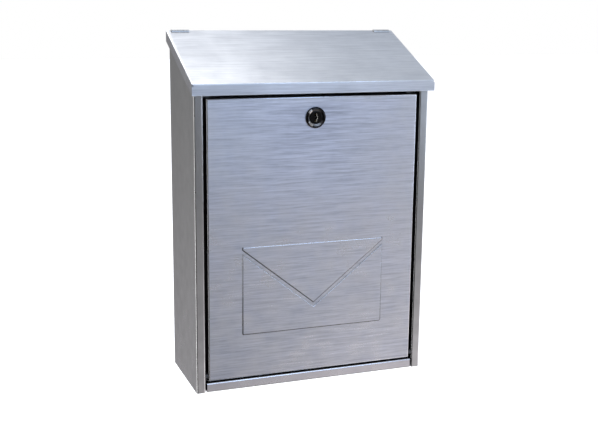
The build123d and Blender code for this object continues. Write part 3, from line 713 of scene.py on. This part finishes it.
def drawn_in(outline, inset):
    """Outline, anticlockwise, with every side moved inwards by the inset."""
    made, count, sharpest = [], len(outline), 0.05
    for i in range(count):
        a, b, c = outline[i - 1], outline[i], outline[(i + 1) % count]
        u, v = (b - a).normalized(), (c - b).normalized()
        n, m = Vector((-u.y, u.x)), Vector((-v.y, v.x))
        made.append(b + (n + m) * (inset / max(1 + n.dot(m), sharpest)))
    return made


# Across the pressed wall: millimetres in from the outline, millimetres forward, and how much
# painted shade
press_profile = [(-0.95, 0.0, 0.0), (-0.6, 0.0, 0.9), (-0.1, 0.02, 1.0), (0.05, 0.2, 1.0),
                 (0.15, 0.5, 1.0), (0.27, 0.75, 0.8), (0.42, 0.86, 0.2), (0.65, 0.9, 0.0)]
points, levels, creases, strips = [], [], [], []


def add_loop(outline, level, crease=0.0):
    """Numbers of a new closed loop of points, forward of the door's face by the level.

    Its painted shade is left off where a side faces straight up, into the light."""
    first, lit_top_power = len(points), 8
    points.extend(Vector((p[0], p[1])) for p in outline)
    levels.extend([level] * len(outline))
    # Painted shade along the pressed walls, taken off the sides that face straight up into the
    # light
    for i in range(len(outline)):
        along = Vector(outline[(i + 1) % len(outline)]) - Vector(outline[i - 1])
        upward = max(0.0, -along.normalized().x)
        creases.append(crease * (1 - upward ** lit_top_power))
    return list(range(first, len(points)))


flat_regions = []
for outline, corners, radius in ((flap, (2, 3), flap_radius), (pocket, (0, 1), pocket_radius)):
    smooth = rounded(outline, corners, radius)
    loops = [add_loop(drawn_in(smooth, inset * MM), raise_by * MM, painted_shade)
             for inset, raise_by, painted_shade in press_profile]
    strips += [(a, b) for a, b in zip(loops, loops[1:])]
    flat_regions.append((loops[0], loops[-1]))
face_edge = [(-door_half + BEND, door_foot + BEND), (door_half - BEND, door_foot + BEND),
             (door_half - BEND, door_top - BEND), (-door_half + BEND, door_top - BEND)]
outer_loop = add_loop(face_edge, 0.0)
bezel_low, bezel_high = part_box("lock_housing")
lock_z = (bezel_low.z + bezel_high.z) / 2
hole_radius, hole_flat = 8.95 * MM, 7.95 * MM
hole = [(max(-hole_flat, min(hole_flat, x)), z) for x, z in circle(hole_radius, (0, lock_z), 64)]
hole_loop = add_loop(hole, 0.0)


def fill(loops, keep):
    """Faces of the flat area between loops, whose middles pass the test."""
    used = sorted({i for loop in loops for i in loop})
    local = {number: i for i, number in enumerate(used)}
    lines = [(local[a], local[b]) for loop in loops for a, b in zip(loop, loop[1:] + loop[:1])]
    result = delaunay_2d_cdt([points[i] for i in used], lines, [], 0, 1e-9)
    found = []
    for face in result[2]:
        middle = sum((result[0][i] for i in face), Vector((0, 0))) / len(face)
        if keep(middle):
            found.append([used[result[3][i][0]] for i in face])
    return found


def inside(loop):
    """Test of whether a point is within a loop."""
    ring = [points[i] for i in loop]

    def test(p):
        odd = False
        for a, b in zip(ring, ring[1:] + ring[:1]):
            if ((a.y > p.y) != (b.y > p.y)
                    and p.x < (b.x - a.x) * (p.y - a.y) / (b.y - a.y) + a.x):
                odd = not odd
        return odd
    return test


pressed = [inside(regions[0]) for regions in flat_regions]
in_hole = inside(hole_loop)
ground = [outer_loop, hole_loop] + [regions[0] for regions in flat_regions]
faces = fill(ground, lambda p: not in_hole(p) and not any(test(p) for test in pressed))
for _, top_loop in flat_regions:
    faces += fill([top_loop], inside(top_loop))
for a, b in strips:
    count = len(a)
    faces += [(a[i], a[(i + 1) % count], b[(i + 1) % count], b[i]) for i in range(count)]
solid = [Vector((p.x, front_y - level, p.y)) for p, level in zip(points, levels)]
rings = [outer_loop]
for step in range(1, BEND_STEPS + 2):
    if step <= BEND_STEPS:
        angle = math.pi / 2 * step / BEND_STEPS
        out, y = BEND * math.sin(angle), front_y + BEND * (1 - math.cos(angle))
    else:
        out, y = BEND, door_back
    first = len(solid)
    x = door_half - BEND + out
    low, high = door_foot + BEND - out, door_top - BEND + out
    solid += [Vector((-x, y, low)), Vector((x, y, low)), Vector((x, y, high)),
              Vector((-x, y, high))]
    rings.append(list(range(first, first + 4)))
for a, b in zip(rings, rings[1:]):
    faces += [(b[i], b[(i + 1) % 4], a[(i + 1) % 4], a[i]) for i in range(4)]
mesh = mesh_of("door_pan", solid, faces)
creases += [0.0] * (len(solid) - len(creases))
mesh.attributes.new("crease", "FLOAT", "POINT").data.foreach_set("value", creases)
face_outward(mesh)
if sum(face.normal.y * face.area for face in mesh.polygons) > 0:
    mesh.flip_normals()
door = thicken(new_object("door_pan", mesh))
running = 0.05 * MM
for x in (-door_half, door_half):
    x_range = (x - 2 * SHEET, x + 2 * SHEET)
    for z, side in ((door_foot, 1), (door_top, -1)):
        seam_z = sorted((z + side * SHEET, z + side * (SHEET + seam_gap)))
        cut(door, [box_mesh("seam", (x_range[0], front_y + 2 * BEND, seam_z[0]),
                            (x_range[1], door_back + 1 * MM, seam_z[1]))])
    bore = circle(pin_radius + running, (pivot_y, pivot_z))
    cut(door, [prism_mesh("bore", bore, "X", *x_range)])
# Painted shade: the door's folded flanges behind the fold depth are painted near black, as the gaps
# round the door lie in shade.
mark(door, "crease", deep_shade, lambda p: p.y > front_y + fold_depth and (
    abs(p.x) > door_half - 2 * SHEET or not door_foot + 2 * SHEET < p.z < door_top - 2 * SHEET))
finish_piece(door, "door", door_steel, ["door_panel"], grain=(1, 0, 0),
             sharp=28.0)

# ---------------------------------------------------------------------------------------------
# Back panel: a flat sheet of the same steel with the four wall holes, welded inside the case. It
# keeps the mill's plainer, upright grain.
# ---------------------------------------------------------------------------------------------
back_steel = brushed_steel("back_steel", lines=(560.0, 560.0, 8.0), dark=(0.48, 0.48, 0.48),
                           light=(0.55, 0.55, 0.55), roughness=0.42, hairlines=0.30, bands=0.22,
                           scratches=0.12, patches=9.0)
back = new_object("back_sheet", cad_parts["back_panel"].data.copy())
finish_piece(back, "case", back_steel, ["back_panel"], grain=(0, 0, 1))


# ---------------------------------------------------------------------------------------------
# Lid hinges: two small butt hinges of zinc-plated steel, riveted to the back panel and spot welded
# under the lid, each with a plain pin through three knuckles. The door's pivot pins match them.
# ---------------------------------------------------------------------------------------------
def dress(name, finish):
    """Gives a CAD piece its finish in place of its plain one."""
    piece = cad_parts[name]
    piece.data.materials.clear()
    piece.data.materials.append(finish)


def grained(name, metallic, patches, shades, dust, skin, gloss, relief):
    """Material with a cloudy colour, dust on it and a fine skin in its gloss and relief.

    shades are its plain and its hazy colour, skin its grains per metre and their detail, gloss its
    least and most roughness, and relief its depth in metres and its strength."""
    material, tree, shader = new_material(name, Metallic=metallic)
    marks = add(tree, "ShaderNodeGroup", {"Patches per metre": patches},
                node_tree=handling_marks).outputs
    fine = noise(tree, object_place(tree), *skin)
    colour = blend(tree, marks["Haze"], (*shades[0], 1), (*shades[1], 1))
    colour = blend(tree, marks["Dust"], colour, (*dust, 1))
    tree.links.new(colour, shader.inputs["Base Color"])
    tree.links.new(span(tree, fine, 0.3, 0.7, *gloss), shader.inputs["Roughness"])
    bump = add(tree, "ShaderNodeBump", {"Height": fine, "Distance": relief[0],
                                        "Strength": relief[1]})
    tree.links.new(bump.outputs[0], shader.inputs["Normal"])
    return material, tree, shader, colour


def plain_metal(name, dark, light, roughness, unevenness=0.08, relief=0.3, glint_colour=None):
    """Cast, turned or plated metal; the last argument is a bright colour painted on the marked
    points, as glints.
    """
    material, tree, shader, colour = grained(
        name, 1.0, 90.0, (light, dark), (0.45, 0.44, 0.42), (900.0, 3.0),
        (roughness - unevenness, roughness + unevenness), (0.00001, relief))
    if glint_colour:
        # Marked points are painted with the bright colour, as glints
        highlight_mask = add(tree, "ShaderNodeGroup", node_tree=painted_fold_highlights).outputs["Mask"]
        tree.links.new(blend(tree, highlight_mask, colour, (*glint_colour, 1)), shader.inputs["Base Color"])
    return material


zinc = plain_metal("zinc_plate", (0.50, 0.50, 0.49), (0.60, 0.60, 0.59), 0.34)
for side in ("left", "right"):
    for name in ("lid_hinge_leaf", "lid_hinge_wing", "lid_hinge_pin", "door_pivot_pin",
                 "door_pivot_clip"):
        dress(f"{name}_{side}", zinc)


# ---------------------------------------------------------------------------------------------
# Door pivots and buffers: black nylon spacers keep the door off the case beside its pins, and
# small black rubber buffers take the knock of the lid and of the door.
# ---------------------------------------------------------------------------------------------
def moulded(name, dark, light, roughness, grit):
    """Moulded plastic or rubber with a fine uneven skin."""
    unevenness = 0.08
    return grained(name, 0.0, 140.0, (dark, light), (0.3, 0.29, 0.27), (grit, 4.0),
                   (roughness - unevenness, roughness + unevenness), (0.00004, 0.4))[0]


black_nylon = moulded("black_nylon", (0.022, 0.022, 0.023), (0.035, 0.035, 0.036), 0.42, 1800.0)
black_rubber = moulded("black_rubber", (0.014, 0.014, 0.014), (0.026, 0.026, 0.025), 0.68, 2600.0)
for side in ("left", "right"):
    dress(f"door_pivot_spacer_{side}", black_nylon)
    dress(f"lid_buffer_{side}", black_rubber)
    dress(f"door_buffer_{side}", black_rubber)

# ---------------------------------------------------------------------------------------------
# Lock: a cam lock in black-chromed zinc, held in the door by a washer and a nut. Its ring dishes
# in to a turning plug with a crooked keyway; its dish, crest and keyway mouth are painted bright,
# as glints.
# ---------------------------------------------------------------------------------------------
# Near-black chrome whose marked points are painted bright, as glints
black_chrome = plain_metal("black_chrome", (0.016, 0.015, 0.016), (0.034, 0.033, 0.034), 0.16,
                           unevenness=0.05, relief=0.1, glint_colour=(0.74, 0.72, 0.70))
brass = plain_metal("brass", (0.45, 0.31, 0.12), (0.55, 0.40, 0.17), 0.3)
spring_steel = plain_metal("spring_steel", (0.40, 0.40, 0.41), (0.50, 0.50, 0.51), 0.28)

turning_steps = 96


def turned(name, profile, closed):
    """Solid turned about the lock's axis.

    The profile gives radii and depths behind the door's face, in millimetres."""
    points, faces, count = [], [], len(profile)
    for step in range(turning_steps):
        angle = 2 * math.pi * step / turning_steps
        points += [(radius * MM * math.cos(angle), front_y + depth * MM,
                    lock_z + radius * MM * math.sin(angle)) for radius, depth in profile]
    for step in range(turning_steps):
        a, b = step * count, (step + 1) % turning_steps * count
        faces += [(a + i, a + (i + 1) % count, b + (i + 1) % count, b + i)
                  for i in range(count if closed else count - 1)]
    if not closed:
        faces += [tuple(k * count for k in range(turning_steps)),
                  tuple(k * count + count - 1 for k in reversed(range(turning_steps)))]
    return new_object(name, face_outward(mesh_of(name, points, faces)))


def reach(place):
    """Distance from the lock's axis in millimetres."""
    return math.hypot(place.x, place.z - lock_z) / MM


def round_lock(place, low, high):
    """Whether a place lies between two directions round the lock, in degrees from its right."""
    return low < math.degrees(math.atan2(place.z - lock_z, place.x)) % 360 < high


# Ring, in millimetres: a bezel that dishes in to the plug, then the barrel with its thread
bezel_radius, bezel_back, barrel_end = 11.5, -0.03, 13.6
head_depth, seat_radius, seat_back, bore_radius = -0.7, 7.16, -0.66, 6.44
crest, root, pitch, thread_end, ridges = 8.8, 8.4, 0.45, 12.9, 24
thread = [(crest if ridge % 2 else root, thread_end - pitch * ridge) for ridge in range(ridges)]
ring_profile = [
    (bezel_radius, bezel_back), (bezel_radius, -1.0), (11.35, -1.55), (10.95, -2.05), (10.4, -2.4),
    (9.8, -2.57), (9.3, -2.58), (8.9, -2.45), (7.5, -1.75), (7.2, -1.72), (seat_radius, -1.6),
    (seat_radius, seat_back), (bore_radius, seat_back), (bore_radius, barrel_end),
    (8.2, barrel_end), (root, 13.3), *thread, (root, 1.6), (8.75, 1.5), (8.75, bezel_back)]
housing = turned("lock_ring", ring_profile, closed=True)
flat_x = 7.8 * MM
cut(housing, [box_mesh("flat", (min(s * flat_x, s), front_y, -1), (max(s * flat_x, s), 1, 1))
              for s in (-1, 1)])
finish_piece(housing, "door", black_chrome, ["lock_housing"], sharp=40.0)

# Painted glints: its dish is painted bright faintly all round and more at the top and the foot, and
# its crest at the upper and lower left
dish_y, dish_reach, crest_y, crest_reach = front_y - 1.6 * MM, 9.0, front_y - 2.3 * MM, 8.5
for worn, low, high in ((0.10, -1, 361), (0.45, 225, 310), (0.25, 70, 110)):
    mark(housing, "fold", worn, lambda p: p.y < dish_y and reach(p) < dish_reach
         and round_lock(p, low, high))
for low, high in ((122, 148), (205, 245)):
    mark(housing, "fold", 1.0, lambda p: p.y < crest_y and reach(p) > crest_reach
         and round_lock(p, low, high))

# Plug, in millimetres: its head seats in the ring, and its body fills the barrel's bore
plug_face, head_radius, body_radius, core = -2.3, 7.1, 6.4, 0.02
plug = turned("lock_barrel", [
    (core, plug_face), (6.7, plug_face), (6.98, plug_face + 0.08), (head_radius, plug_face + 0.3),
    (head_radius, head_depth), (body_radius, head_depth), (body_radius, barrel_end),
    (core, barrel_end)], closed=False)

# Keyway: a crooked slot of three steps, the middle one set over to the right by twice the ward
ward, slot_half, slot_step = 0.45, 0.9, 2.8
outer, inner, foot, shelf = ward + slot_half, slot_half - ward, -1.5 * slot_step, 0.5 * slot_step
keyway = [(x * MM, lock_z + z * MM) for x, z in (
    (-outer, foot), (inner, foot), (inner, -shelf), (outer, -shelf), (outer, shelf), (inner, shelf),
    (inner, -foot), (-outer, -foot), (-outer, shelf), (-inner, shelf), (-inner, -shelf),
    (-outer, -shelf))]
chamfer = 0.5 * MM
mouth = prism_mesh("mouth", keyway, "Y", front_y + (plug_face - 0.05) * MM,
                   front_y + (plug_face + 0.55) * MM)
for point, place in zip(mouth.vertices, drawn_in([Vector(p) for p in keyway], -chamfer)):
    point.co.x, point.co.z = place

# Inside and behind it: wafer slots, spring pockets and the square drive with its screw's bore
drive, drive_front, drive_end = 3.5 * MM, front_y + 13.0 * MM, front_y + 15.6 * MM
cut(plug, [box_mesh("drive", (-drive, drive_front, lock_z - drive),
                    (drive, drive_end, lock_z + drive))], "UNION")
wafer_y = [front_y + (1.2 + 2.0 * i) * MM for i in range(5)]
slot_x, slot_y, slot_z = 2.9 * MM, 0.55 * MM, 6.4 * MM
pocket_bore, spring_x = 0.84 * MM, 2.06 * MM
spring_foot, spring_top = lock_z - 5.4 * MM, lock_z - 1.6 * MM
screw_radius, screw_depth = 2.0 * MM, 5.4 * MM
cut(plug, [mouth, prism_mesh("keyway", keyway, "Y", front_y - 3 * MM, front_y + 10.2 * MM)])
cut(plug, [box_mesh("slot", (-slot_x, y - slot_y, lock_z - slot_z),
                    (slot_x, y + slot_y, lock_z + slot_z)) for y in wafer_y])
cut(plug, [prism_mesh("pocket", circle(pocket_bore, (spring_x, y), 20), "Z", spring_foot,
                      spring_top) for y in wafer_y])
cut(plug, [prism_mesh("bore", circle(screw_radius, (0.0, lock_z), 32), "Y",
                      drive_end - screw_depth, drive_end + 1 * MM)])
finish_piece(plug, "lock_plug", black_chrome, ["lock_plug"], sharp=30.0)
# Painted glints: the keyway's mouth, just behind the plug's face, is painted bright
mark(plug, "fold", 1.0, lambda p: reach(p) < 6.0
     and 0.3 < (p.y - front_y) / MM - plug_face < 0.6)
for name in ("lock_washer", "lock_nut", "lock_cam", "cam_washer", "cam_screw"):
    dress(name, zinc)
dress("lock_wafers", brass)
dress("lock_wafer_springs", spring_steel)

bpy.context.view_layer.update()
